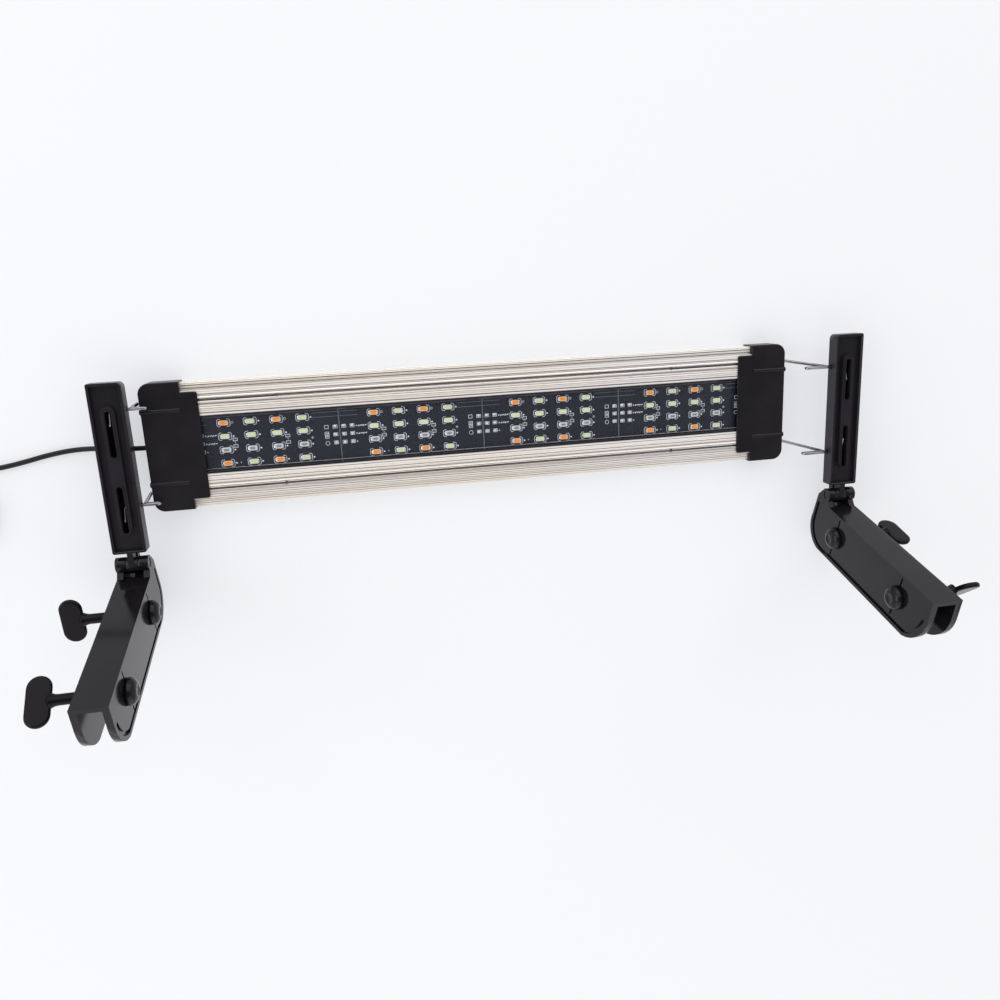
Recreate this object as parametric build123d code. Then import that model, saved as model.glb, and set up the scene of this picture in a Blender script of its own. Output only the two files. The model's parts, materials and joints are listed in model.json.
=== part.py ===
from build123d import *
import os
from math import cos, pi, radians, sin, tan

# Clip-on LED aquarium light: a flat lamp between two wire brackets. Each bracket carries an arm,
# and a rim clamp hinges on the arm's end. Millimetres. The lamp lies on its back, LEDs towards +Z,
# its length along X. The origin is the centre of the housing's flat back.

# ---- driving dimensions ---------------------------------------------------------------------
LAMP_LENGTH = 400.0          # over the two end caps
LAMP_WIDTH = 76.0            # over the end caps
LAMP_HEIGHT = 13.0           # front of the end caps above the back
HOUSING_END = 196.0          # half length of the aluminium extrusion
HOUSING_HALF_WIDTH = 37.3
RAIL_TOP = 11.7              # front face of the extrusion's rails
BAND_TOP = 9.1               # ribbed outer bands, one step lower
BAND_EDGE = 32.4             # half width to the step between rail and outer band
WINDOW_HALF = 17.4           # half width of the window between the rails
FLOOR_TOP = 5.7              # floor that carries the LED boards
RIB_HEIGHT = 0.45
CORNER_R = 6.5               # outer corners of the end caps

WIRE_R = 0.95                # bent steel bracket wire, 1.9 mm
WIRE_Y = 26.6                # groove of each bracket wire, either side of the middle
WIRE_Z = 9.0
WIRE_START = 124.0           # inner end of each wire in its groove
GROOVE_R = 1.3

BOARD_COUNT = 4
BOARD_LENGTH = 88.3
BOARD_HALF_WIDTH = 17.0
BOARD_BOTTOM, BOARD_TOP = 6.1, 7.7
LED_PITCH_X, LED_PITCH_Y = 15.25, 8.15
LED_OFFSET_X, LED_OFFSET_Y = -0.2, -0.4
LED_SIZE = (5.7, 3.0, 0.8)
LENS_BOTTOM, LENS_TOP = 9.35, 10.85
LENS_HALF_LENGTH = 173.0

GAPS = {"left": 5.7, "right": 30.3}          # from each end cap to its arm: left pushed in, right pulled out
ARM_SHIFT = {"left": -1.8, "right": 0.0}     # how far each arm has slid along Y on its wires
WIRE_ARM_Y = {("left", "upper"): 24.6, ("left", "lower"): -31.6,      # where the wires enter the arms
              ("right", "upper"): 21.5, ("right", "lower"): -35.0}
WIRE_TAIL = {("left", "upper"): -9.0, ("left", "lower"): -9.0,        # their last run along the arm's slots
             ("right", "upper"): -9.0, ("right", "lower"): 9.0}
ARM_WIDTH = 19.0
ARM_TOP_Y, ARM_END_Y = 42.3, -57.2
ARM_BACK_Z, ARM_FRONT_Z = 14.0, 22.6
SLOT_WIDTH = 3.6
ARM_SLOTS = ((-0.3, 26.4), (-45.3, -17.2))     # both ends of each slot in the rail, along Y
ARM_SCREW_Y = (35.8, -48.2)

HINGE_Y, HINGE_Z = -64.8, 18.3
PIN_R = 1.9
EAR_R = 4.6
KNUCKLE = 6.6                # width of the arm's hinge barrel, between the clamp's bosses
CLAMP_LEAN = 15.0            # degrees that the clamp leans back from upright
WEB_DEPTH = 6.2              # top of the clamp's web below the hinge axis
CLAMP_LENGTH = 118.0
FLANGE_DEPTH = 34.8
CLAMP_INSET = 0.2            # clamp's inner side from the arm's inner side
CLAMP_WIDTH = 18.6
FLANGE = 3.6
WEB = 2.6
SCREW_S = (20.0, 89.0)       # thumb screws along the clamp from the hinge
SCREW_H = 16.0               # and below the web's top
SCREW_R = 3.0
PLUG_HEAD_R = 7.4            # rubber stops opposite the thumb screws
# direction of each wing's long axis, degrees from -Y towards +Z
WING_ANGLES = {("left", "rear"): -8, ("left", "front"): 40,
               ("right", "rear"): 72, ("right", "front"): 124}

CORD_R = 1.5
CORD_EXIT = (-200.75, 0.0, 6.5)
COIL_CENTRE = (-317.0, -31.2)
COIL_IN, COIL_OUT = 11.1, 24.6       # radii of the innermost and outermost turns
CORD_ROUTE = [CORD_EXIT, (-212.6, 0.1, 6.2), (-226, 1.3, 3.7), (-241, 1.5, 1.9), (-256, -0.5, 1.6),
              (-271, -4.0, 1.6), (-286, -6.6, 1.6), (-302, -7.3, 1.6), (-317, -7.2, 1.6)]
TAIL_ROUTE = [(-341, -31.2, 4.65), (-341.4, -41.5, 3.9), (-340.4, -52.5, 2.4), (-338.2, -63.5, 2.3),
              (-335.5, -74, 3.6), (-333, -83, 4.9)]
PLUG_R = 4.6


# ---- helpers --------------------------------------------------------------------------------
def block(x0, x1, y0, y1, z0, z1):
    return Pos((x0 + x1) / 2, (y0 + y1) / 2, (z0 + z1) / 2) * Box(abs(x1 - x0), abs(y1 - y0), abs(z1 - z0))


def rod_x(x0, x1, y, z, r):
    return Pos((x0 + x1) / 2, y, z) * Rot(0, 90, 0) * Cylinder(r, abs(x1 - x0))


def rod_z(x, y, z0, z1, r):
    return Pos(x, y, (z0 + z1) / 2) * Cylinder(r, z1 - z0)


def along_x(face, x0, x1):
    """Extrudes a face drawn in the YZ plane from x0 to x1."""
    return Pos(x0, 0, 0) * extrude(Plane.YZ * face, amount=x1 - x0)


def bent_wire(points, radii, r):
    path = FilletPolyline(*points, radius=radii)
    section = Plane(origin=path @ 0, z_dir=path % 0) * Circle(r)
    return sweep(section, path=path)


def place(shape, side):
    """Keeps a shape drawn for the right-hand end there, or mirrors it to the left."""
    return shape if side == "right" else mirror(shape, about=Plane.YZ)


def place_bracket(shape, side):
    """The same for a shape drawn with x from the arm's inner side."""
    return place(Pos(LAMP_LENGTH / 2 + GAPS[side], ARM_SHIFT[side], 0) * shape, side)


def save(name, *solids):
    shape = solids[0] if len(solids) == 1 else Compound(children=[s for s in solids])
    export_step(shape, f"parts/{name}.step")


# ---- lamp -----------------------------------------------------------------------------------
def ribs(y_from, y_to, z, count):
    """Fine ridges from y_from down to y_to."""
    step = (y_from - y_to) / count
    points = []
    for i in range(count):
        y = y_from - i * step
        points += [(y, z), (y - 0.3 * step, z + RIB_HEIGHT), (y - 0.7 * step, z + RIB_HEIGHT)]
    return points + [(y_to, z)]


def housing():
    half = [(HOUSING_HALF_WIDTH, 0.8), (HOUSING_HALF_WIDTH, BAND_TOP)]
    half += ribs(36.9, 32.6, BAND_TOP, 5)
    half += [(BAND_EDGE, BAND_TOP), (BAND_EDGE, RAIL_TOP), (29.4, RAIL_TOP), (29.4, RAIL_TOP - 0.5),
             (28.9, RAIL_TOP - 0.5), (28.9, RAIL_TOP)]
    half += ribs(28.7, 27.5, RAIL_TOP, 1) + ribs(25.6, 19.9, RAIL_TOP, 5)
    half += [(WINDOW_HALF, RAIL_TOP), (WINDOW_HALF, LENS_TOP + 0.1), (18.9, LENS_TOP + 0.1),
             (18.9, LENS_BOTTOM - 0.1), (17.7, LENS_BOTTOM - 0.1), (17.7, FLOOR_TOP)]
    back = [(HOUSING_HALF_WIDTH - 0.8, 0)]
    other = [(-y, z) for y, z in reversed(half)]
    outline = half + other + [(-y, z) for y, z in back] + back
    body = along_x(make_face(Polyline(*outline, close=True)), -HOUSING_END, HOUSING_END)
    length = HOUSING_END + 1
    cuts = []
    for y in [9.5 + 3.0 * i for i in range(9)]:                     # cooling fins in the back
        cuts.append(block(-length, length, y - 0.7, y + 0.7, -1, 1.8))
    cuts.append(rod_x(-length, length, WIRE_Y, WIRE_Z, GROOVE_R))    # groove of the bracket wire
    cuts.append(block(-length, length, WIRE_Y - 0.7, WIRE_Y + 0.7, WIRE_Z, LAMP_HEIGHT))
    cuts.append(rod_x(-length, length, 22.0, 5.4, 1.3))              # screw port
    cuts.append(block(-length, length, 28.6, 35.6, 3.0, 7.0))        # hollow chamber
    cuts.append(block(-length, length, 19.6, 24.4, 2.9, 3.4))
    for cut in cuts:
        body = body - cut - mirror(cut, about=Plane.XZ)
    for x in (WIRE_START - 1.5, -WIRE_START + 1.5):                  # stop dimples in the grooves
        for y in (WIRE_Y, -WIRE_Y):
            body -= rod_z(x, y, WIRE_Z, LAMP_HEIGHT, 1.1)
    return body


def end_cap(side):
    end, top, half = LAMP_LENGTH / 2, LAMP_HEIGHT, LAMP_WIDTH / 2
    shell = block(177, end, -half, half, 0, top)
    shell = fillet(shell.edges().filter_by(Axis.Z).sort_by(Axis.X)[-2:], CORNER_R)
    tongue = block(167.5, 178, -31.8, 31.8, RAIL_TOP + RIB_HEIGHT + 0.05, top)
    tongue = fillet(tongue.edges().filter_by(Axis.Z).sort_by(Axis.X)[:2], 1.5)
    cap = shell + tongue
    cap = fillet(cap.faces().sort_by(Axis.Z)[-1].edges(), 0.7)
    inner = HOUSING_HALF_WIDTH + 0.05
    pocket = block(160, 197, -inner, inner, -1, BAND_TOP + RIB_HEIGHT + 0.05)
    step = block(160, 197, -BAND_EDGE - 0.05, BAND_EDGE + 0.05, 5, RAIL_TOP + RIB_HEIGHT + 0.05)
    cap = cap - pocket - step
    for y in (21.5, -21.5):                                          # low beads across the cap
        bead = rod_x(178.0, end + 0.4, y, top - 0.9, 1.5)
        cap += bead & block(170, end + 0.4, y - 2, y + 2, top - 0.9, top + 1)
    for y in (WIRE_Y, -WIRE_Y):
        cap -= rod_x(190, end + 2, y, WIRE_Z, GROOVE_R)
    for y in (22.0, -22.0):
        cap -= rod_x(190, end + 2, y, 5.4, 1.6)
        cap -= rod_x(end - 1.6, end + 2, y, 5.4, 2.8)
    if side == "left":
        cap -= rod_x(190, end + 2, 0, CORD_EXIT[2], 2.6)
    return place(cap, side)


def end_seal(side):
    plate = block(196.1, 196.9, -36.9, 36.9, 0.9, BAND_TOP) + block(196.1, 196.9, -32, 32, 0.9, RAIL_TOP)
    for y in (WIRE_Y, -WIRE_Y):
        plate -= rod_x(190, 200, y, WIRE_Z, GROOVE_R)
        plate -= rod_x(190, 200, y - 4.6 * y / WIRE_Y, 5.4, 1.6)
    plate -= rod_x(190, 200, 0, CORD_EXIT[2], 2.6)
    return place(plate, side)


def cap_screws(side):
    screws = []
    for y in (22.0, -22.0):
        screw = rod_x(186, 199, y, 5.4, 1.27) + rod_x(198.5, 199.8, y, 5.4, 2.5)
        screw -= block(199.2, 200, y - 2, y + 2, 5.1, 5.7) + block(199.2, 200, y - 0.3, y + 0.3, 3.4, 7.4)
        screws.append(place(screw, side))
    return screws


def board_centre(i):
    return (i - (BOARD_COUNT - 1) / 2) * BOARD_LENGTH


def board(i):
    x, half = board_centre(i), BOARD_LENGTH / 2 - 0.05
    return block(x - half, x + half, -BOARD_HALF_WIDTH, BOARD_HALF_WIDTH, BOARD_BOTTOM, BOARD_TOP)


def led_places():
    """Centre and colour of every LED: four rows of four on each board."""
    for i in range(BOARD_COUNT):
        for row in range(4):
            for column in range(4):
                x = board_centre(i) + LED_OFFSET_X + (column - 1.5) * LED_PITCH_X
                y = LED_OFFSET_Y + (1.5 - row) * LED_PITCH_Y
                if row == 2:
                    colour = "white"
                elif row in (0, 3) and column % 2 == 0:
                    colour = "orange"
                else:
                    colour = "warm"
                yield x, y, colour


def leds(colour):
    lx, ly, lz = LED_SIZE
    result = []
    for x, y, kind in led_places():
        if kind == colour:
            body = block(x - lx / 2, x + lx / 2, y - ly / 2, y + ly / 2, BOARD_TOP, BOARD_TOP + lz)
            well = block(x - 1.9, x + 1.9, y - 1.05, y + 1.05, BOARD_TOP + lz - 0.15, BOARD_TOP + 2)
            result.append(body - well)
    return result


def resistors():
    """A pair of chip resistors between the LED columns, twice on each board."""
    result = []
    for i in range(BOARD_COUNT):
        for dx in (-17.5, 13.2):
            for y in (1.4, -2.5):
                x = board_centre(i) + dx
                result.append(block(x - 0.8, x + 0.8, y - 0.6, y + 0.6, BOARD_TOP, BOARD_TOP + 0.5))
    return result


def solder_joints():
    """Rows of three tinned pads beside each joint between boards, and at the outer ends."""
    result = []
    for i in range(BOARD_COUNT + 1):
        x = (i - BOARD_COUNT / 2) * BOARD_LENGTH
        for y in (-5.0, 0.0, 5.0):
            for dx in (-2.6, 2.6, 7.6):
                if abs(x + dx) < BOARD_COUNT * BOARD_LENGTH / 2:
                    pad = Pos(x + dx, y, BOARD_TOP + 0.2) * Box(2.0, 1.4, 0.4)
                    result.append(pad)
    return result


def lead(y, bend):
    """Insulated lead from the cord's inner end to a pad on the first board."""
    points = [(-195.0, y * 0.5, CORD_EXIT[2]), (-187.0, y * 0.8, CORD_EXIT[2] + 0.4), (-180.0, y, BOARD_TOP + 1.0),
              (-174.4, y, BOARD_TOP + 1.0)]
    return bent_wire(points, [bend, bend], 0.6)


def grommet():
    """Bush through the cap's end wall, with a thin lip outside."""
    tube = rod_x(CORD_EXIT[0], -196.0, 0, CORD_EXIT[2], 2.55)
    lip = rod_x(CORD_EXIT[0], -200.05, 0, CORD_EXIT[2], 3.1)
    return tube + lip - rod_x(-205, -190, 0, CORD_EXIT[2], CORD_R)


# ---- cord -----------------------------------------------------------------------------------
def route_radii(points):
    """The arc at each corner is 0.45 of the shorter run over the tangent of half the turn."""
    vectors = [Vector(*b) - Vector(*a) for a, b in zip(points, points[1:])]
    radii = []
    for a, b in zip(vectors, vectors[1:]):
        turn = radians(a.get_angle(b))
        radii.append(0.45 * min(a.length, b.length) / tan(turn / 2))
    return radii


def cord_tube(points):
    radii = route_radii(points)
    tube = bent_wire(points, radii, CORD_R)
    length = FilletPolyline(*points, radius=radii).length
    print("cord radii", [round(r) for r in radii], "length", round(length, 1),
          "volume", round(tube.volume), "of", round(pi * CORD_R ** 2 * length))
    return tube


def coil():
    x, y = COIL_CENTRE
    outer, inner = COIL_OUT + CORD_R + 0.1, COIL_IN - CORD_R - 0.1
    ring = rod_z(x, y, 0.1, 6.2, outer) - rod_z(x, y, -1, 8, inner)
    return fillet(ring.edges().filter_by(GeomType.CIRCLE), 1.2)


def cord_tie():
    """Twist tie round the coil's bundle on its far side."""
    x, y = COIL_CENTRE
    outer, inner = COIL_OUT + CORD_R + 0.1, COIL_IN - CORD_R - 0.1
    loop = block(x - 1.2, x + 1.2, y - outer - 0.8, y - inner + 0.8, 0.0, 7.1)
    return loop - block(x - 2, x + 2, y - outer - 0.05, y - inner + 0.05, 0.06, 6.25)


def plug_frame():
    """Plane at the plug's cord end, its normal along the plug."""
    direction = Vector(*TAIL_ROUTE[-1]) - Vector(*TAIL_ROUTE[-2])
    return Plane(origin=TAIL_ROUTE[-1], z_dir=(direction.X, direction.Y, 0))


def dc_plug():
    sleeve = Pos(0, 0, 5) * Cone(2.4, 3.4, 10)
    grip = Pos(0, 0, 19) * Cylinder(PLUG_R, 18)
    for i in range(5):
        grip -= Pos(0, 0, 13 + 3 * i) * (Cylinder(PLUG_R + 1, 0.8) - Cylinder(PLUG_R - 0.4, 0.8))
    return plug_frame() * (sleeve + grip)


def dc_barrel():
    barrel = Pos(0, 0, 28.05 + 4.75) * (Cylinder(2.75, 9.5) - Cylinder(1.05, 10))
    return plug_frame() * barrel


# ---- wire brackets --------------------------------------------------------------------------
def wire_leg(side, which):
    """One bracket wire: straight in its groove, out to the arm, folded back once, then into the arm."""
    face = LAMP_LENGTH / 2 + GAPS[side]
    sign = 1 if which == "upper" else -1
    arm_y = WIRE_ARM_Y[side, which]
    reach = 10.3 if side == "left" else 17.0       # hairpin tip from the arm's inner side
    low, mid, high = 12.9, 15.2, 17.5
    fold, tip, hook = face - 1.3, face - reach, face + ARM_WIDTH / 2
    points = [(WIRE_START, sign * WIRE_Y, WIRE_Z), (201.3, sign * WIRE_Y, WIRE_Z), (fold, arm_y, low),
              (fold, arm_y, mid), (tip, arm_y, mid), (tip, arm_y, high), (hook, arm_y, high),
              (hook, arm_y + WIRE_TAIL[side, which], high + 2.4)]
    wire = bent_wire(points, [1.3, 1.1, 1.1, 1.1, 1.1, 2.0], WIRE_R)
    return place(wire, side)


def slot(u, y0, y1, width, z0, z1):
    middle = block(u - width / 2, u + width / 2, y0 + width / 2, y1 - width / 2, z0, z1)
    return middle + rod_z(u, y0 + width / 2, z0, z1, width / 2) + rod_z(u, y1 - width / 2, z0, z1, width / 2)


def arm_frame(side):
    """Drawn with x from the arm's inner side. A shell with a railed front recess and a pocket behind."""
    top, end, back, front = ARM_TOP_Y, ARM_END_Y, ARM_BACK_Z, ARM_FRONT_Z
    centre = ARM_WIDTH / 2
    body = block(0, ARM_WIDTH, end, top, back, front)
    uprights = body.edges().filter_by(Axis.Z).sort_by(lambda edge: edge.center().X - edge.center().Y)
    body = fillet(uprights[0], 3.0)                                  # inner corner at the top
    body = fillet([edge for edge in body.edges().filter_by(Axis.Z) if edge.length > 8
                   and (edge.center().X > centre or edge.center().Y < 0)], 1.2)
    body -= block(1.8, ARM_WIDTH - 1.4, end + 1.4, top - 1.8, front - 3.0, front + 1)
    body += slot(centre, top - 87.7, top - 13.0, 7.6, front - 3.2, front - 0.4)
    body = chamfer(body.faces().sort_by(Axis.Z)[-1].edges(), 0.35)
    body -= block(1.6, ARM_WIDTH - 1.6, end + 5, top - 1.8, back - 1, 18.6)
    for y0, y1 in ARM_SLOTS:
        body += slot(centre, y0 - 0.9, y1 + 0.9, SLOT_WIDTH + 1.6, front - 1, front - 0.1)
        body -= slot(centre, y0, y1, SLOT_WIDTH, 18, front + 1)
    for which in ("upper", "lower"):                                 # side holes for the bracket wires
        y = WIRE_ARM_Y[side, which] - ARM_SHIFT[side]
        body -= block(-1, 3, y - 1.3, y + 1.3, 16.2, 18.6)
    for y in ARM_SCREW_Y:                                            # screw posts behind the recess
        for u in (4.2, ARM_WIDTH - 4.2):
            body += rod_z(u, y, back + 1.2, 19.0, 1.9)
            body -= rod_z(u, y, back, 18.4, 0.8)
    body += block(centre - 1.7, centre + 1.7, HINGE_Y, end + 1, back, front)                # neck
    body += rod_x(centre - KNUCKLE / 2, centre + KNUCKLE / 2, HINGE_Y, HINGE_Z, 4.3)
    body += block(centre - 2.4, centre + 2.4, HINGE_Y - 1.2, end + 0.5, 10.1, back + 0.5)   # stop lug
    return body - rod_x(-1, 30, HINGE_Y, HINGE_Z, PIN_R + 0.06)


def arm_cover():
    """Back cover of the arm, sunk into the pocket's mouth."""
    cover = block(1.7, ARM_WIDTH - 1.7, ARM_END_Y + 5.1, ARM_TOP_Y - 1.9, ARM_BACK_Z, ARM_BACK_Z + 1.15)
    for y in ARM_SCREW_Y:
        for u in (4.2, ARM_WIDTH - 4.2):
            cover -= rod_z(u, y, 10, 17, 1.0)
            cover -= rod_z(u, y, 13, ARM_BACK_Z + 0.6, 1.9)
    return cover


def arm_screws(side):
    screws = []
    for y in ARM_SCREW_Y:
        for u in (4.2, ARM_WIDTH - 4.2):
            screw = rod_z(u, y, ARM_BACK_Z + 0.1, ARM_BACK_Z + 0.6, 1.7) + rod_z(u, y, ARM_BACK_Z + 0.3, 18.0, 0.78)
            screws.append(place_bracket(screw, side))
    return screws


# ---- clamps ---------------------------------------------------------------------------------
# Drawn upright: x from the clamp's inner side, z along the clamp from the hinge axis,
# and depth below the web's top towards -Y.
def depth(h):
    return -(h + WEB_DEPTH)


def clamp_place(shape, side):
    leaned = Pos(CLAMP_INSET, HINGE_Y, HINGE_Z) * Rot(CLAMP_LEAN, 0, 0) * shape
    return place_bracket(leaned, side)


def flange_outline():
    """Side view of a flange: straight top and bottom, rounded nose, bulging rear, hinge ear."""
    top_front, nose_start = (depth(0), CLAMP_LENGTH), (depth(13), CLAMP_LENGTH)
    nose_end, rear_start = (depth(FLANGE_DEPTH), 101), (depth(FLANGE_DEPTH), 2)
    rear_end, ear_back = (depth(14), -10.7), (depth(-3.0), -8.6)
    nose = ThreePointArc(nose_start, (depth(27), CLAMP_LENGTH - 5), nose_end)
    rear = ThreePointArc(rear_start, (depth(29.3), -7.3), rear_end)
    lap = Polyline(rear_end, ear_back, (2.2, -4.0), (0, 0), (depth(0), 6.2), top_front, nose_start)
    return make_face([nose, Line(nose_end, rear_start), rear, lap])


def groove(points, width):
    """Channel cut into the outer side of a flange, through the given (depth, z) points."""
    cut = None
    for (h0, s0), (h1, s1) in zip(points, points[1:]):
        line = Line((depth(h0), s0), (depth(h1), s1))
        middle = line @ 0.5
        stroke = Pos(middle.X, middle.Y) * Rot(0, 0, line.tangent_angle_at(0)) * SlotCenterToCenter(line.length, width)
        cut = along_x(stroke, -1, 1.2) if cut is None else cut + along_x(stroke, -1, 1.2)
    return cut


def rear_groove_points():
    """Follows the flange's rear bulge 3.4 mm inside its edge."""
    arc = ThreePointArc((31.4, 14), (26.4, -4.4), (13, -7.2))
    return [(p.X, p.Y) for p in (arc @ (i / 8) for i in range(9))] + [(3, -6.2)]


def nose_groove_points():
    """Runs along the flange's lower edge and round its nose."""
    arc = ThreePointArc((31.4, 101), (24.8, 110.0), (15, 114.3))
    return [(31.4, 14)] + [(p.X, p.Y) for p in (arc @ (i / 6) for i in range(7))]


def clamp():
    flange = along_x(flange_outline(), 0, FLANGE) + rod_x(0, FLANGE, 0, 0, EAR_R)
    inner = flange
    for line in (rear_groove_points(), nose_groove_points()):
        inner = inner - groove(line, 2.4)
    for s in SCREW_S:
        inner = inner - groove([(2.2, s + 1), (31.4, s - 2)], 1.3)
    inner -= rod_x(-1, 0.4, 0, 0, 2.7)                               # ring round the pin's end
    inner += rod_x(FLANGE - 0.5, (CLAMP_WIDTH - KNUCKLE) / 2 - 0.3, 0, 0, EAR_R)    # boss
    outer = mirror(inner, about=Plane(origin=(CLAMP_WIDTH / 2, 0, 0), z_dir=(1, 0, 0)))
    web = block(FLANGE - 0.5, CLAMP_WIDTH - FLANGE + 0.5, depth(WEB), depth(0), 10, CLAMP_LENGTH)
    web += block(FLANGE - 0.5, CLAMP_WIDTH - FLANGE + 0.5, depth(WEB), depth(0.8), -8.4, 10.5)
    heel = block(FLANGE - 0.5, CLAMP_WIDTH - FLANGE + 0.5, depth(WEB), depth(-2.6), -8.4, -6.2)
    body = inner + outer + web + heel
    for x in (FLANGE, CLAMP_WIDTH - FLANGE):                         # small gussets under the web
        for s in (46.0, 110.0):
            sign = 1 if x == FLANGE else -1
            gusset = Polyline((x, depth(WEB - 0.2)), (x + sign * 1.4, depth(WEB - 0.2)), (x, depth(WEB + 1.4)),
                              close=True)
            body += Pos(0, 0, s) * extrude(make_face(gusset), amount=2.0)
    for s in SCREW_S:
        body -= rod_x(-1, FLANGE + 1, depth(SCREW_H), s, 3.0)
        body -= rod_x(CLAMP_WIDTH - FLANGE - 1, CLAMP_WIDTH + 1, depth(SCREW_H), s, 4.6)
    return body - rod_x(-1, 30, 0, 0, PIN_R)


def hinge_pin():
    return rod_x(0.3, CLAMP_WIDTH - 0.3, 0, 0, PIN_R)


def flange_plug(s):
    """Rubber stop turned about x: domed head with a dished end, stem through the flange, pad inside."""
    head_r, end_r = PLUG_HEAD_R, 3.2
    head = Polyline((-5.0, end_r), (-4.5, 2.2), (-4.5, 0), (-0.05, 0), (-0.05, head_r - 0.5), (-0.5, head_r),
                    (-1.2, head_r))
    head += ThreePointArc((-1.2, head_r), (-3.8, 6.1), (-5.0, end_r))
    turned = revolve(make_face(head), axis=Axis.X)
    turned += rod_x(-0.5, FLANGE + 0.5, 0, 0, 2.95) + rod_x(FLANGE + 0.05, FLANGE + 1.25, 0, 0, 5.6)
    return Pos(0, depth(SCREW_H), s) * turned


def thread_insert(s):
    y, x = depth(SCREW_H), CLAMP_WIDTH - FLANGE
    return rod_x(x, CLAMP_WIDTH, y, s, 4.58) - rod_x(x - 1, CLAMP_WIDTH + 1, y, s, SCREW_R + 0.06)


def thumb_screw(side, where):
    """Moulded shaft with a flat rounded wing, which turns about x."""
    s = SCREW_S[0] if where == "rear" else SCREW_S[1]
    shaft = rod_x(CLAMP_WIDTH - FLANGE - 1.4, 37.8, 0, 0, SCREW_R)
    collar = Pos(36.4, 0, 0) * Rot(0, 90, 0) * Cone(SCREW_R, 4.0, 2.8)
    wing = SlotOverall(26.0, 13.0)
    wing = Pos(43.2, 0, -1.6) * Rot(0, 0, 90) * extrude(wing, amount=3.2)
    wing = fillet(wing.faces().sort_by(Axis.Z)[-1].edges() + wing.faces().sort_by(Axis.Z)[0].edges(), 1.0)
    screw = Rot(-WING_ANGLES[side, where] - CLAMP_LEAN, 0, 0) * (shaft + collar + wing)
    return Pos(0, depth(SCREW_H), s) * screw


def pressure_pad(s):
    y, x = depth(SCREW_H), CLAMP_WIDTH - FLANGE
    pad = rod_x(x - 2.9, x - 0.5, y, s, 6.0) + rod_x(x - 2.9, x - 1.5, y, s, 5.0)
    return pad - rod_x(x - 1.5, x + 1, y, s, SCREW_R + 0.08)


# ---- write every sub-part -------------------------------------------------------------------
os.makedirs("parts", exist_ok=True)
save("housing_extrusion", housing())
save("thermal_pad", block(-176.0, 176.0, -16.8, 16.8, FLOOR_TOP, BOARD_BOTTOM))
for i in range(BOARD_COUNT):
    save(f"led_board_{i + 1}", board(i))
for colour in ("orange", "warm", "white"):
    save(f"leds_{colour}", *leds(colour))
save("board_resistors", *resistors())
save("solder_joints", *solder_joints())
save("lens_cover", block(-LENS_HALF_LENGTH, LENS_HALF_LENGTH, -18.8, 18.8, LENS_BOTTOM, LENS_TOP))
save("lens_end_seals", *[block(x, x + 2.4, -18.7, 18.7, LENS_BOTTOM, LENS_TOP) for x in (-175.5, 173.1)])
save("lead_positive", lead(3.0, 4.0))
save("lead_negative", lead(-3.0, 4.0))
save("cable_grommet", grommet())
save("power_cord", cord_tube(CORD_ROUTE))
save("power_cord_coil", coil())
save("power_cord_tail", cord_tube(TAIL_ROUTE))
save("cord_tie", cord_tie())
save("dc_plug", dc_plug())
save("dc_plug_barrel", dc_barrel())
for side in ("left", "right"):
    save(f"end_cap_{side}", end_cap(side))
    save(f"end_seal_{side}", end_seal(side))
    save(f"cap_screws_{side}", *cap_screws(side))
    for which in ("upper", "lower"):
        save(f"wire_leg_{side}_{which}", wire_leg(side, which))
    save(f"arm_frame_{side}", place_bracket(arm_frame(side), side))
    save(f"arm_cover_{side}", place_bracket(arm_cover(), side))
    save(f"arm_screws_{side}", *arm_screws(side))
    save(f"clamp_{side}", clamp_place(clamp(), side))
    save(f"hinge_pin_{side}", clamp_place(hinge_pin(), side))
    save(f"flange_plugs_{side}", *[clamp_place(flange_plug(s), side) for s in SCREW_S])
    save(f"thread_inserts_{side}", *[clamp_place(thread_insert(s), side) for s in SCREW_S])
    for where, s in zip(("rear", "front"), SCREW_S):
        save(f"thumb_screw_{side}_{where}", clamp_place(thumb_screw(side, where), side))
        save(f"pressure_pad_{side}_{where}", clamp_place(pressure_pad(s), side))
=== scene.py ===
"""Looks of the clip-on LED aquarium light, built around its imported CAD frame. Metres, the row's frame."""
import json
import math

import bmesh
import bpy
from mathutils import Matrix, Vector


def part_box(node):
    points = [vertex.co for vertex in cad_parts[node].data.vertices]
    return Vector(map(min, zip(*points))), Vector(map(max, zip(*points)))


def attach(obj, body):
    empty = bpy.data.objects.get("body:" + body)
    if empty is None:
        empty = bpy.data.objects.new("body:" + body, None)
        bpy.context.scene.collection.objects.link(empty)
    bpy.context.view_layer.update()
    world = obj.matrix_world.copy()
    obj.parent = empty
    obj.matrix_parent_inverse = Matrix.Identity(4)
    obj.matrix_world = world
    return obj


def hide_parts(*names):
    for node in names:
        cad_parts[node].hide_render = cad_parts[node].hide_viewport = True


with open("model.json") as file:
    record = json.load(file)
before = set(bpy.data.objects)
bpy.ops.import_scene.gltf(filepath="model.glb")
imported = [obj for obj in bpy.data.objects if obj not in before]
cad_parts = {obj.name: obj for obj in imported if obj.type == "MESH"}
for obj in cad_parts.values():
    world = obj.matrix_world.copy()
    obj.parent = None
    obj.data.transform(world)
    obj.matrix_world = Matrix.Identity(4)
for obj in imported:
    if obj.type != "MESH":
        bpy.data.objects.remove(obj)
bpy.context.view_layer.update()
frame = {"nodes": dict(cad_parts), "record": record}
nodes = frame["nodes"]
MM = 0.001
SIDES, PLACES = ("left", "right"), ("rear", "front")


# ---- camera ---------------------------------------------------------------------------------
CAMERA_EYE, CAMERA_AIM = Vector((-0.07804, 0.08015, 0.52186)), Vector((0.0097, -0.0524, 0.0))
CAMERA_ROLL = math.radians(-2.8)
LENS_MM, SENSOR_MM, NEAREST = 30.1, 36.0, 0.01


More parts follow.
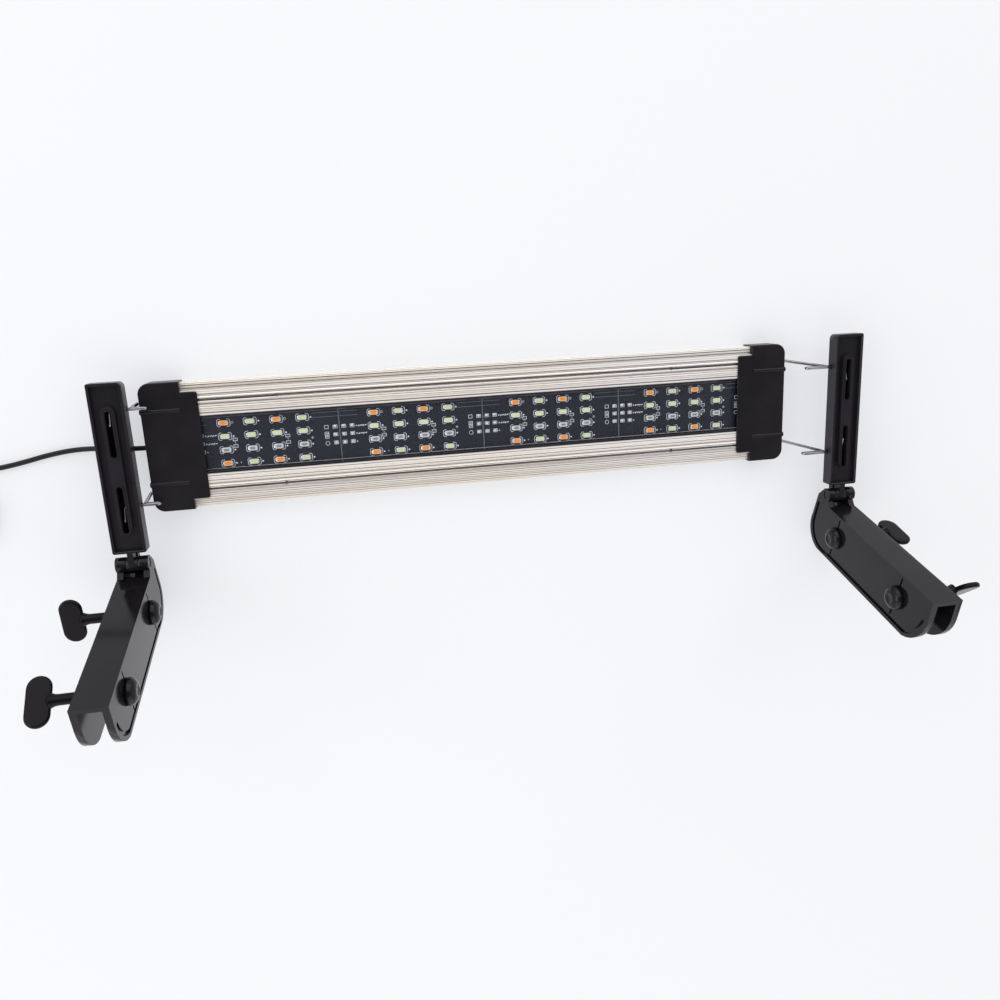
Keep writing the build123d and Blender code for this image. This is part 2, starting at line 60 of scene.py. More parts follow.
def make_camera():
    back = (CAMERA_EYE - CAMERA_AIM).normalized()
    right = Vector((0, 1, 0)).cross(back).normalized()
    turn = Matrix((right, back.cross(right), back)).transposed().to_4x4()
    data = bpy.data.cameras.new("camera")
    data.lens, data.sensor_width, data.clip_start = LENS_MM, SENSOR_MM, NEAREST
    camera = bpy.data.objects.new("camera", data)
    camera.matrix_world = Matrix.Translation(CAMERA_EYE) @ turn @ Matrix.Rotation(CAMERA_ROLL, 4, "Z")
    bpy.context.scene.collection.objects.link(camera)
    bpy.context.scene.camera = camera


make_camera()


# ---- materials ------------------------------------------------------------------------------
WHITE = (1.0, 1.0, 1.0)


class Finish:
    """One procedural material: a Principled shader, and the nodes that vary it over the surface."""

    def __init__(self, name, colour, roughness=0.5, metallic=0.0, **sockets):
        self.material = bpy.data.materials.new(name)
        self.material.use_nodes = True
        self.tree = self.material.node_tree
        self.shader = self.tree.nodes["Principled BSDF"]
        self.set(base_color=(*colour, 1.0), roughness=roughness, metallic=metallic, **sockets)
        self.where = self.tree.nodes.new("ShaderNodeTexCoord").outputs["Object"]

    def set(self, **sockets):
        for name, value in sockets.items():
            title = "IOR" if name == "ior" else name.replace("_", " ").title()
            self.shader.inputs[title].default_value = value

    def add(self, kind, **inputs):
        node = self.tree.nodes.new("ShaderNode" + kind)
        for name, value in inputs.items():
            self.feed(node.inputs[name.replace("_", " ")], value)
        return node

    def feed(self, socket, value):
        if isinstance(value, bpy.types.NodeSocket):
            self.tree.links.new(value, socket)
        else:
            socket.default_value = value

    def noise(self, scale, stretch=(1, 1, 1), detail=4.0, roughness=0.55):
        """Grey noise from 0 to 1: scale in features per metre, times stretch along each axis."""
        place = self.add("Mapping", Vector=self.where, Scale=stretch)
        return self.add("TexNoise", Vector=place.outputs[0], Scale=scale, Detail=detail,
                        Roughness=roughness).outputs["Fac"]

    def spread(self, value, low, high, start=0.3, end=0.7):
        """Maps a grey value from start..end to low..high."""
        return self.add("MapRange", Value=value, From_Min=start, From_Max=end, To_Min=low,
                        To_Max=high).outputs["Result"]

    def mix(self, factor, first, second):
        node = self.tree.nodes.new("ShaderNodeMix")
        node.data_type = "RGBA"
        self.feed(node.inputs["Factor"], factor)
        self.feed(node.inputs[6], (*first, 1.0))
        self.feed(node.inputs[7], (*second, 1.0))
        return node.outputs[2]

    def multiply(self, first, second):
        node = self.tree.nodes.new("ShaderNodeMix")
        node.data_type, node.blend_type = "RGBA", "MULTIPLY"
        for socket, value in (("Factor", 1.0), (6, first), (7, second)):
            self.feed(node.inputs[socket], value)
        return node.outputs[2]

    def bump(self, height, distance, strength):
        node = self.add("Bump", Height=height, Distance=distance, Strength=strength)
        self.feed(self.shader.inputs["Normal"], node.outputs["Normal"])

    def colour(self, value):
        self.feed(self.shader.inputs["Base Color"], value)

    def rough(self, value):
        self.feed(self.shader.inputs["Roughness"], value)


def extruded_aluminium():
    """Satin anodised: fine die lines along the length with painted shade along them, painted shade in the
    troughs of fine ribs across the width, and a warm tone that drifts from end to end.
    """
    f = Finish("extruded_aluminium", (0.98, 0.95, 0.88), 0.25, 0.4)
    along, fine, coarse, rib_scale = 0.04, 760, 330, 250.0          # features per metre
    lines = f.noise(1.0, (along, fine, fine), 3.0, 0.65)
    bands = f.noise(1.0, (along, coarse, coarse), 2.0, 0.5)
    drift = f.noise(3.0, (1, 0.2, 0.2), 1.0)
    tone = f.mix(f.spread(drift, 0, 1, 0.4, 0.6), (1.0, 0.98, 0.94), (0.98, 0.92, 0.8))
    # painted shade: the die lines are darkened in the colour, as their grooves would be shaded
    die_line_shade = f.mix(f.spread(lines, 0, 1, 0.4, 0.49), (0.25, 0.21, 0.26), WHITE)
    # painted shade: fine ribs across the width, darker in their troughs
    wave = f.add("TexWave", Vector=f.where, Scale=rib_scale)
    wave.bands_direction = "Y"
    rib_trough_shade = f.mix(f.spread(wave.outputs["Fac"], 0, 1, 0.08, 0.38), (0.6, 0.57, 0.6), WHITE)
    f.colour(f.multiply(f.multiply(tone, die_line_shade), rib_trough_shade))
    f.rough(f.spread(bands, 0.14, 0.28))
    f.bump(lines, 0.00001, 0.25)
    return f.material


def moulded_black(name, tone, low, high, depth=0.00003, ior=1.3):
    """Injection-moulded black plastic with faint flow marks and handling smears."""
    f = Finish(name, (tone, tone * 0.96, tone * 1.06), low, 0.0, ior=ior, specular_tint=(1.0, 0.95, 1.0, 1.0))
    smear, grain = f.noise(45, detail=3.0), f.noise(500, detail=2.0)
    f.colour(f.mix(f.spread(smear, 0, 1), (tone * 0.8, tone * 0.74, tone * 0.9),
                   (tone * 1.25, tone * 1.1, tone * 1.4)))
    f.rough(f.spread(smear, low, high))
    f.bump(grain, depth, 0.12)
    return f.material


def plain(name, colour, roughness, metallic=0.0, grain=1500, depth=0.00002, vary=0.12, **sockets):
    """A base with fine grain in its roughness, tone and surface."""
    f = Finish(name, colour, roughness, metallic, **sockets)
    spots = f.noise(grain, detail=3.0)
    dark, light = [c * (1 - vary) for c in colour], [min(1.0, c * (1 + vary)) for c in colour]
    f.colour(f.mix(f.spread(spots, 0, 1), dark, light))
    f.rough(f.spread(spots, roughness * 0.8, min(1.0, roughness * 1.2)))
    f.bump(spots, depth, 0.4)
    return f.material


def clear_sheet():
    """Polished clear acrylic. Light from lamps passes straight through."""
    f = Finish("clear_acrylic", (0.97, 0.98, 1.0), 0.02, 0.0, ior=1.3, transmission_weight=1.0)
    output = f.tree.nodes["Material Output"]
    seen_by = f.tree.nodes.new("ShaderNodeLightPath")
    passing = f.add("BsdfTransparent", Color=(0.95, 0.96, 0.97, 1))
    both = f.tree.nodes.new("ShaderNodeMixShader")
    f.tree.links.new(seen_by.outputs["Is Shadow Ray"], both.inputs[0])
    f.tree.links.new(f.shader.outputs[0], both.inputs[1])
    f.tree.links.new(passing.outputs[0], both.inputs[2])
    f.tree.links.new(both.outputs[0], output.inputs["Surface"])
    return f.material


FINISHES = {
    "aluminium": extruded_aluminium(),
    "gloss_black": moulded_black("gloss_black_plastic", 0.006, 0.08, 0.16),
    "cap_black": moulded_black("satin_black_plastic", 0.008, 0.26, 0.36),
    "seal_rubber": plain("black_rubber", (0.02, 0.02, 0.021), 0.55, 0.0, 2500, 0.00004),
    "plug_rubber": moulded_black("polished_rubber", 0.006, 0.05, 0.09),
    "steel": plain("zinc_steel", (0.62, 0.62, 0.63), 0.28, 1.0),
    "wire_steel": plain("bright_wire", (0.26, 0.26, 0.28), 0.08, 1.0, 700, 0.00001),
    "board": plain("solder_mask", (0.003, 0.004, 0.011), 0.3, 0.0, 5000, 0.000001, 0.1),
    "led_orange": plain("phosphor_orange", (0.88, 0.25, 0.015), 0.35),
    "led_warm": plain("phosphor_yellow_green", (0.58, 0.65, 0.32), 0.35),
    "led_white": plain("phosphor_white", (0.42, 0.44, 0.45), 0.35),
    "chip": plain("ceramic_chip", (0.05, 0.05, 0.055), 0.5),
    "solder": plain("solder", (0.78, 0.78, 0.8), 0.22, 1.0),
    "lens": clear_sheet(),
    "pad_grey": plain("silicone_pad", (0.4, 0.42, 0.44), 0.6),
    "insulation_red": plain("red_insulation", (0.45, 0.02, 0.02), 0.4),
    "insulation_black": plain("black_insulation", (0.02, 0.02, 0.02), 0.4),
    "cord_black": plain("cord_sheath", (0.006, 0.006, 0.007), 0.34, 0.0, 1800, 0.00003, ior=1.32),
    "tie": plain("tie_plastic", (0.03, 0.03, 0.03), 0.45),
    "plug_metal": plain("nickel", (0.72, 0.7, 0.66), 0.2, 1.0),
    "brass": plain("turned_brass", (0.75, 0.55, 0.25), 0.25, 1.0),
}
SCREW_BLACK = moulded_black("screw_black_plastic", 0.006, 0.1, 0.18, 0.00003, 1.2)
ARM_BLACK = moulded_black("arm_black_plastic", 0.012, 0.25, 0.36)
PACKAGE = plain("led_package", (0.6, 0.61, 0.58), 0.4, 0.0, 2500)
PACKAGE_WARM = plain("led_package_orange", (0.72, 0.56, 0.4), 0.4, 0.0, 2500)
PRINT = plain("board_print", (0.7, 0.72, 0.75), 0.5, 0.0, 3500, 0.00001, 0.2)
PRINT_FAINT = plain("board_traces", (0.12, 0.13, 0.17), 0.35, 0.0, 3500, 0.00001, 0.3)
DIE = plain("led_die", (0.14, 0.15, 0.17), 0.3, 0.0, 2500)

for entry in frame["record"]["subparts"]:
    mesh = nodes[entry["node"]].data
    mesh.materials.clear()
    mesh.materials.append(FINISHES[entry["material_slot"]])


# ---- soft edges on the moulded parts --------------------------------------------------------
def soften(node, width):
    """Rounds the sharp edges of a CAD node without changing its mesh."""
    piece = nodes[node]
    weld = piece.modifiers.new("weld", "WELD")
    weld.merge_threshold = 0.005 * MM
    bevel = piece.modifiers.new("soft_edges", "BEVEL")
    bevel.width, bevel.segments, bevel.limit_method = width, 2, "ANGLE"
    bevel.angle_limit, bevel.harden_normals = math.radians(38), True


for side in SIDES:
    nodes[f"arm_frame_{side}"].material_slots[0].material = ARM_BLACK
    soften(f"arm_frame_{side}", 0.25 * MM)
    soften(f"clamp_{side}", 0.22 * MM)


# ---- mesh helpers ---------------------------------------------------------------------------
def loft(mesh, loops):
    """Skins successive loops of as many points, in millimetres, and closes both ends."""
    rows = [[mesh.verts.new([MM * c for c in point]) for point in loop] for loop in loops]
    count = len(rows[0])
    for a, b in zip(rows, rows[1:]):
        for i in range(count):
            mesh.faces.new((a[i], a[(i + 1) % count], b[(i + 1) % count], b[i]))
    mesh.faces.new(rows[0][::-1])
    mesh.faces.new(rows[-1])


def plate(x, y, half_x, half_y, z, cut=0.0):
    """Rectangle of points round (x, y), its corners clipped."""
    corners = [(1, -1), (1, 1), (-1, 1), (-1, -1)]
    if cut <= 0:
        return [(x + sx * half_x, y + sy * half_y, z) for sx, sy in corners]
    points = []
    for sx, sy in corners:
        pair = [(x + sx * (half_x - cut), y + sy * half_y, z), (x + sx * half_x, y + sy * (half_y - cut), z)]
        points += pair if sx * sy < 0 else pair[::-1]
    return points


def circle(x, y, z, radius, count=12):
    angles = [2 * math.pi * i / count for i in range(count)]
    return [(x + radius * math.cos(angle), y + radius * math.sin(angle), z) for angle in angles]


def turned(profile, count=36):
    """Loops of a shape turned about the x axis, from (x, radius) pairs."""
    angles = [2 * math.pi * i / count for i in range(count)]
    return [[(x, radius * math.cos(angle), radius * math.sin(angle)) for angle in angles]
            for x, radius in profile]


def add_piece(name, mesh, finish, body, slot, *replaced, smooth=None, place=None):
    """Makes a finished piece from a bmesh, parents it to its body, and hides the CAD nodes it replaces."""
    if place is not None:
        mesh.transform(place)
    bmesh.ops.recalc_face_normals(mesh, faces=mesh.faces)
    data = bpy.data.meshes.new(name)
    mesh.to_mesh(data)
    mesh.free()
    data.materials.append(finish)
    if smooth is not None:
        data.shade_smooth()
        data.set_sharp_from_angle(angle=math.radians(smooth))
    piece = bpy.data.objects.new(name, data)
    bpy.context.scene.collection.objects.link(piece)
    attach(piece, body)
    if replaced:
        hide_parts(*replaced)
    return piece


# ---- LED boards, in millimetres -------------------------------------------------------------
BOARD_COUNT, BOARD_LENGTH, BOARD_TOP, BOARD_EDGE = 4, 88.3, 7.7, 16.9
LED_ROWS = LED_COLUMNS = 4
LED_PITCH_X, LED_PITCH_Y = 15.25, 8.15
LED_OFFSET_X, LED_OFFSET_Y = -0.2, -0.4
PRINT_TOP = BOARD_TOP + 0.06
SOLDER_COLUMNS, SOLDER_ROWS = (-2.6, 2.6, 7.6), (-5.0, 0.0, 5.0)   # columns from each board joint
# Levels of a clipped stack: half size in x and y, height over the board, corner cut.
PACKAGE_LEVELS = [(2.35, 1.45, 0, 0.25), (2.35, 1.45, 0.55, 0.25), (2.2, 1.3, 0.75, 0.25),
                  (1.95, 1.1, 0.75, 0.25), (1.8, 1.0, 0.5, 0.25)]
PHOSPHOR_LEVELS = [(1.88, 1.05, 0.45, 0.25), (1.88, 1.05, 0.66, 0.25), (1.1, 0.6, 0.72, 0.15)]
DIE_LEVELS = [(1.3, 0.5, 0.7, 0.1), (1.2, 0.44, 0.76, 0.1)]
SOLDER_LEVELS = [(0.95, 0.65, 0, 0.3), (0.9, 0.6, 0.2, 0.3), (0.6, 0.35, 0.36, 0.2)]
# Levels of a tab: distance from the LED's middle, half size in x and y, height.
TAB_LEVELS = [(2.55, 0.32, 1.15, 0), (2.55, 0.32, 1.15, 0.3), (2.45, 0.2, 1.05, 0.42)]
# Clipped bracket printed each side of an LED.
LED_BRACKET = [(1.9, 2.15), (3.1, 2.15), (3.75, 1.5), (3.75, -1.5), (3.1, -2.15), (1.9, -2.15)]
LED_MARK = 4.9                                            # the dot or ring beside each LED


def board_centres():
    return [(i - (BOARD_COUNT - 1) / 2) * BOARD_LENGTH for i in range(BOARD_COUNT)]


def led_places():
    for centre in board_centres():
        for row in range(LED_ROWS):
            for column in range(LED_COLUMNS):
                x = centre + LED_OFFSET_X + (column - (LED_COLUMNS - 1) / 2) * LED_PITCH_X
                y = LED_OFFSET_Y + ((LED_ROWS - 1) / 2 - row) * LED_PITCH_Y
                if row == 2:
                    yield x, y, row, column, "white"
                elif row in (0, 3) and column % 2 == 0:
                    yield x, y, row, column, "orange"
                else:
                    yield x, y, row, column, "warm"


def stack(mesh, x, y, levels):
    """Clipped plates on the board, one over the other, skinned."""
    loft(mesh, [plate(x, y, half_x, half_y, BOARD_TOP + height, cut)
                for half_x, half_y, height, cut in levels])


def make_leds():
    """Each LED: a pale package with a bevelled rim, a filled well, and a tinned tab at each end."""
    names = ("packages", "packages_orange", "tabs", "dies", "orange", "warm", "white")
    meshes = {name: bmesh.new() for name in names}
    for x, y, _, _, colour in led_places():
        stack(meshes["packages_orange" if colour == "orange" else "packages"], x, y, PACKAGE_LEVELS)
        stack(meshes[colour], x, y, PHOSPHOR_LEVELS)
        for end in (-1, 1):
            loft(meshes["tabs"], [plate(x + end * reach, y, half_x, half_y, BOARD_TOP + height)
                                  for reach, half_x, half_y, height in TAB_LEVELS])
        if colour == "white":
            stack(meshes["dies"], x, y, DIE_LEVELS)
    add_piece("led_packages", meshes["packages"], PACKAGE, "lamp", "led_white")
    add_piece("led_packages_orange", meshes["packages_orange"], PACKAGE_WARM, "lamp", "led_orange")
    add_piece("led_tabs", meshes["tabs"], FINISHES["solder"], "lamp", "solder")
    add_piece("led_dies", meshes["dies"], DIE, "lamp", "chip")
    for colour in ("orange", "warm", "white"):
        add_piece(f"led_phosphor_{colour}", meshes[colour], FINISHES[f"led_{colour}"], "lamp",
                  f"led_{colour}", f"leds_{colour}")


def stroke(mesh, points, width=0.26):
    """Printed line through the given (x, y) points."""
    for (x0, y0), (x1, y1) in zip(points, points[1:]):
        length = math.hypot(x1 - x0, y1 - y0)
        ax, ay = (x1 - x0) / length * width / 2, (y1 - y0) / length * width / 2
        base = [(x0 - ax - ay, y0 - ay + ax), (x0 - ax + ay, y0 - ay - ax), (x1 + ax + ay, y1 + ay - ax),
                (x1 + ax - ay, y1 + ay + ax)]
        loft(mesh, [[(x, y, z) for x, y in base] for z in (BOARD_TOP, PRINT_TOP)])


def ring(mesh, x, y, radius):
    points = [(px, py) for px, py, _ in circle(x, y, 0, radius, 10)]
    stroke(mesh, points + points[:1])


def dot(mesh, x, y, radius):
    loft(mesh, [circle(x, y, BOARD_TOP, radius), circle(x, y, PRINT_TOP, radius * 0.95)])


def frame_line(mesh, x, y, half_x, half_y, width=0.26):
    corners = [(x - half_x, y - half_y), (x + half_x, y - half_y), (x + half_x, y + half_y),
               (x - half_x, y + half_y)]
    stroke(mesh, corners + corners[:1], width)


def print_board(mesh, faint, centre):
    """The white marks of one board. None of them is a letter."""
    half = BOARD_LENGTH / 2
    low_end, high_end, marks = centre - half, centre + half, centre + half - 7.8
    for dx in (-17.5, 13.2):                              # round the two pairs of resistors
        for y in (1.4, -2.5):
            frame_line(mesh, centre + dx, y, 1.2, 0.85, 0.3)
            stroke(mesh, [(centre + dx - 0.5, y), (centre + dx + 0.5, y)], 0.4)
        stroke(mesh, [(centre + dx, -0.3), (centre + dx, -0.8)])
    for y in (4.8, 0.0, -5.0):                            # outlines round the pads at each end of the board
        for x in (low_end + 2.6, low_end + 7.6, high_end - 2.6):
            frame_line(mesh, x, y, 1.25, 0.95, 0.22)
    ring(mesh, marks, -5.2, 1.2)                          # a column of three marks, the middle one barred
    frame_line(mesh, marks, -0.2, 1.1, 1.9)
    for y in (-1.1, -0.2, 0.7):
        stroke(mesh, [(marks - 0.6, y), (marks + 0.6, y)], 0.35)
    frame_line(mesh, marks, 4.8, 1.1, 1.0)
    for y in (4.4, -0.4):                                 # rows of dashes that lead to the first column
        for i, reach in enumerate((0.5, 0.8, 1.1, 0.8, 1.0)):
            x = low_end + 10.0 + 1.35 * i
            stroke(mesh, [(x, y - 0.3 * (i % 2)), (x + reach * 0.7, y + 0.25)], 0.45)
    dot(mesh, low_end + 10.1, -5.2, 0.35)
    dot(mesh, centre - 15.6, -12.6, 0.3)
    x, y, reach = centre + 27.6, -0.9, 0.6                # small diamond
    stroke(mesh, [(x, y + reach), (x + reach, y), (x, y - reach), (x - reach, y), (x, y + reach)], 0.22)
    for x0, x1 in ((low_end, centre - 33.0), (centre + 28.6, high_end)):     # supply lines across the joints
        for y in (13.9, 11.2):
            stroke(faint, [(x0, y), (x1, y)], 0.25)
    stroke(mesh, [(low_end, -15.4), (high_end, -15.4)], 0.16)                # lines along both long edges: a trace along each, the lower one drawn in bright print as a painted highlight where the cover's edge reflects
    stroke(faint, [(low_end, 15.5), (high_end, 15.5)], 0.22)


def make_board_print():
    mesh, faint = bmesh.new(), bmesh.new()
    for x, y, row, column, _ in led_places():
        for sx in (-1, 1):
            stroke(mesh, [(x + sx * px, y + py) for px, py in LED_BRACKET], 0.24)
        if row == 0 and column % 2 == 0:
            ring(mesh, x + LED_MARK, y, 0.65)
        else:
            dot(mesh, x + LED_MARK, y - 0.2, 0.5)
    for centre in board_centres():
        print_board(mesh, faint, centre)
    for i in range(1, BOARD_COUNT):                       # bright cut edges where two boards meet
        x = (i - BOARD_COUNT / 2) * BOARD_LENGTH
        stroke(faint, [(x, -BOARD_EDGE), (x, BOARD_EDGE)], 0.5)
    add_piece("board_print", mesh, PRINT, "lamp", "led_white")
    add_piece("board_traces", faint, PRINT_FAINT, "lamp", "board")


def make_solder():
    """Domed pads, three to a row, either side of every board's end."""
    mesh = bmesh.new()
    for i in range(BOARD_COUNT + 1):
        joint = (i - BOARD_COUNT / 2) * BOARD_LENGTH
        for dx in SOLDER_COLUMNS:
            if abs(joint + dx) < BOARD_COUNT * BOARD_LENGTH / 2:
                for y in SOLDER_ROWS:
                    stack(mesh, joint + dx, y, SOLDER_LEVELS)
    add_piece("solder_pads", mesh, FINISHES["solder"], "lamp", "solder", "solder_joints", smooth=60)


def make_edge_shade_bead():
    """Glossy black bead along each rail where the clear cover meets it: painted shade, a dark strip standing
    in for the shadow in the gap at the window's edge. Its width wanders a little.
    """
    mesh = bmesh.new()
    start, step, count = -172.0, 4.0, 87
    wall, cover, bead = 17.38, 10.86, 1.45
    for side in (-1, 1):
        loops = []
        for i in range(count):
            width = bead + 0.12 * math.sin(i * 1.7) + 0.08 * math.sin(i * 0.61 + side)
            section = [(0.0, cover), (0.0, 11.45), (-0.3 * width, 11.38), (-0.7 * width, 11.15),
                       (-width, cover)]
            loops.append([(start + step * i, side * (wall + y), z) for y, z in section])
        loft(mesh, loops)
    add_piece("window_shade_bead", mesh, FINISHES["plug_rubber"], "lamp", "seal_rubber", smooth=50)


make_leds()
make_board_print()
make_solder()
make_edge_shade_bead()


# ---- turned and moulded details on the clamps ------------------------------------------------
joint_place = {joint["name"]: Vector(joint["pos_m"]) for joint in frame["record"]["behaviour"]["joints"]
               if "pos_m" in joint}
WING_ANGLES = {("left", "rear"): -8, ("left", "front"): 40, ("right", "rear"): 72, ("right", "front"): 124}
FLANGE, CLAMP_WIDTH = 3.6, 18.6
# Turned shapes, as pairs of place along the screw, from the clamp's inner side, and radius. Millimetres.
PLUG_HEAD = [(-0.05, 5.0), (-0.05, 6.9), (-0.5, 7.35), (-1.2, 7.4), (-2.0, 7.25), (-2.8, 6.9), (-3.5, 6.4),
             (-4.1, 5.7), (-4.6, 4.8), (-4.9, 3.9), (-5.0, 3.2), (-4.9, 2.7), (-4.65, 2.2), (-4.52, 1.6),
             (-4.5, 0.8)]
PLUG_PAD = [(3.65, 5.3), (3.65, 5.6), (4.5, 5.6), (4.85, 5.2), (4.85, 1.5)]
THREAD_PITCH = 1.5
SHAFT_R, ROOT_R = 2.98, 2.68
SHAFT_END = [(33.6, SHAFT_R), (35.2, 3.2), (36.4, 3.7), (37.4, 4.1), (38.4, 3.2), (39.5, 1.4)]
WING_CENTRE, WING_HALF_LENGTH, WING_HALF_WIDTH = 43.2, 13.5, 6.3
# Half of the wing's rolled rim: distance in from its outline, and height over its middle plane.
WING_RIM = [(0.0, 0.0), (0.04, 0.6), (0.2, 1.05), (0.5, 1.38), (0.95, 1.56), (1.5, 1.6), (4.0, 1.6)]


def screw_frame(side, where, angle):
    """From millimetres along the screw, x from the clamp's inner side, to the row's frame."""
    centre = joint_place[f"screw_turn_{side}_{where}"]
    low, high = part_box(f"clamp_{side}")
    inner = high.x if side == "left" else low.x
    flip = Matrix.Diagonal((-1 if side == "left" else 1, 1, 1, 1))
    return Matrix.Translation((inner, centre.y, centre.z)) @ flip @ Matrix.Rotation(angle, 4, "X")


def make_plugs(side):
    """Domed rubber plugs in the inner flange, with the pad of each one that faces the glass."""
    mesh = bmesh.new()
    for where in PLACES:
        part = bmesh.new()
        loft(part, turned(PLUG_HEAD))
        loft(part, turned(PLUG_PAD))
        part.transform(screw_frame(side, where, 0.0))
        copy = bpy.data.meshes.new("copy")
        part.to_mesh(copy)
        part.free()
        mesh.from_mesh(copy)
        bpy.data.meshes.remove(copy)
    add_piece(f"rubber_plugs_{side}", mesh, FINISHES["plug_rubber"], f"clamp_{side}", "plug_rubber",
              f"flange_plugs_{side}", smooth=50)


def wing_loops():
    """Flat rounded wing with its rim rolled over."""
    outline, steps = [], 12
    for sign in (1, -1):
        for i in range(steps + 1):
            turn = math.pi * i / steps
            outline.append((WING_HALF_WIDTH * math.cos(turn) * sign,
                            sign * (WING_HALF_LENGTH - WING_HALF_WIDTH + WING_HALF_WIDTH * math.sin(turn))))
    top = [[(WING_CENTRE + u * (1 - inset / WING_HALF_WIDTH), v * (1 - inset / WING_HALF_LENGTH), z)
            for u, v in outline] for inset, z in WING_RIM]
    return [[(x, y, -z) for x, y, z in loop] for loop in top[::-1]] + top[1:]


def make_thumb_screw(side, where):
    mesh = bmesh.new()
    start = CLAMP_WIDTH - FLANGE - 1.4
    shaft, x = [(start, 2.2), (start + 0.5, 2.7)], start + 0.8
    while x < CLAMP_WIDTH + 0.5:                          # moulded thread, as close rings
        shaft += [(x, ROOT_R), (x + 0.35, SHAFT_R), (x + 0.6, SHAFT_R), (x + 0.95, ROOT_R)]
        x += THREAD_PITCH
    loft(mesh, turned(shaft + [(x + 0.2, 2.95)] + SHAFT_END, 28))
    loft(mesh, wing_loops())
    angle = math.radians(-WING_ANGLES[side, where])
    place = screw_frame(side, where, angle)
    add_piece(f"thumb_screw_moulding_{side}_{where}", mesh, SCREW_BLACK, f"thumb_screw_{side}_{where}",
              "gloss_black", f"thumb_screw_{side}_{where}", smooth=42, place=place)


for side in SIDES:
    make_plugs(side)
    for where in PLACES:
        make_thumb_screw(side, where)


# ---- cord, its route in millimetres as in the CAD -------------------------------------------
CORD_R = 1.5 * MM
CORD_ROUTE = [(-200.75, 0.0, 6.5), (-212.6, 0.1, 6.2), (-226, 1.3, 3.7), (-241, 1.5, 1.9), (-256, -0.5, 1.6),
              (-271, -4.0, 1.6), (-286, -6.6, 1.6), (-302, -7.3, 1.6)]
TAIL_ROUTE = [(-341.4, -41.5, 3.9), (-340.4, -52.5, 2.4), (-338.2, -63.5, 2.3), (-335.5, -74, 3.6),
              (-333, -83, 4.9)]
COIL_CENTRE, COIL_OUT = (-317.0, -31.2), 24.0
CORD_PITCH, CORD_LOW = 3.05, 1.6                          # turn to turn, and the lowest turns' height
POINTS_PER_TURN, TURNS_PER_LAYER = 20, 4


def coil_turns():
    """Four turns in, one turn that climbs on itself, and four turns out again on top."""
    layer = TURNS_PER_LAYER
    # The spline runs inside its points, so they stand further out by this factor.
    sag = (3 + math.cos(2 * math.pi / POINTS_PER_TURN)) / 4
    for i in range(1, int(POINTS_PER_TURN * (2 * layer + 1.25)) + 1):
        turn = i / POINTS_PER_TURN
        if turn <= layer:
            radius, z = COIL_OUT - CORD_PITCH * turn, CORD_LOW
        else:
            f = min(turn - layer, 2.0)
            climb = min(f, 1.0) * math.pi / 2
            below = COIL_OUT - CORD_PITCH * (layer - 1 + min(f, 1.0))
            radius, z = below - CORD_PITCH * math.cos(climb), CORD_LOW + CORD_PITCH * math.sin(climb)
            if f > 1.0:                                   # first turn on top runs outside the climbing one
                climb = (f - 1.0) * math.pi / 2
                inner = COIL_OUT - CORD_PITCH * (layer - 1 + f - 1.0) - CORD_PITCH * math.cos(climb)
                drop = CORD_PITCH * (1 - math.sin(climb))
                radius = inner + math.sqrt(max(0.0, CORD_PITCH ** 2 - drop ** 2))
                z = CORD_LOW + CORD_PITCH
            radius += CORD_PITCH * max(0.0, turn - layer - 2)
        angle = math.pi / 2 + 2 * math.pi * turn
        yield (COIL_CENTRE[0] + radius / sag * math.cos(angle),
               COIL_CENTRE[1] + radius / sag * math.sin(angle), z)


GRIP_R, GROOVE_R, PLUG_SIDES = 4.6, 4.25, 32
GRIP_END = [(27.2, GRIP_R), (27.8, 4.3), (28.0, 3.7), (28.0, 1.2)]
BARREL = [(28.05, 1.1), (28.05, 2.72), (36.6, 2.74), (37.2, 2.66), (37.5, 2.45), (37.5, 2.1), (36.9, 1.95),
          (36.9, 1.4), (30.0, 1.3)]


def make_plug():
    """Low-voltage plug: tapered relief with slots, ribbed grip, and a barrel open at its tip."""
    base, ahead = Vector(TAIL_ROUTE[-1]) * MM, Vector(TAIL_ROUTE[-1]) - Vector(TAIL_ROUTE[-2])
    place = Matrix.Translation(base) @ Matrix.Rotation(math.atan2(ahead.y, ahead.x), 4, "Z")
    profile = [(0.0, 1.6), (0.0, 2.0), (0.4, 2.3)]
    for i in range(4):                                    # slots that let the relief bend
        x, radius = 1.4 + 2.1 * i, 2.45 + 0.22 * i
        profile += [(x, radius), (x + 0.15, radius - 0.45), (x + 0.75, radius - 0.4), (x + 0.9, radius + 0.1)]
    profile += [(9.9, 3.4), (10.1, 4.1), (10.6, 4.55)]
    for i in range(5):                                    # grip
        x = 13.0 + 3.0 * i
        profile += [(x - 0.55, GRIP_R), (x - 0.35, GROOVE_R), (x + 0.35, GROOVE_R), (x + 0.55, GRIP_R)]
    body = bmesh.new()
    loft(body, turned(profile + GRIP_END, PLUG_SIDES))
    plug = add_piece("dc_plug_grip", body, FINISHES["cord_black"], "lamp", "cord_black", "dc_plug",
                     smooth=38, place=place)
    tip = bmesh.new()
    loft(tip, turned(BARREL, PLUG_SIDES))
    barrel = add_piece("dc_plug_tip", tip, FINISHES["plug_metal"], "lamp", "plug_metal", "dc_plug_barrel",
                       smooth=38, place=place)
    return plug, barrel


TIE_NEAR, TIE_FAR = 8.7, 26.5                             # the band's reach from the coil's centre
TIE_HALF_WIDTH, TIE_RIB = 1.1, 0.35
TIE_THICK, TIE_THIN = 0.16, 0.015                         # thin under the coil, where it lies on the floor
TWIST_STEPS, TWIST_RISE = 17, 0.35
TWIST_SECTION = [(0, 1), (0.8, 0.6), (math.pi - 0.8, 0.6), (math.pi, 1), (math.pi + 0.8, 0.6), (-0.8, 0.6)]


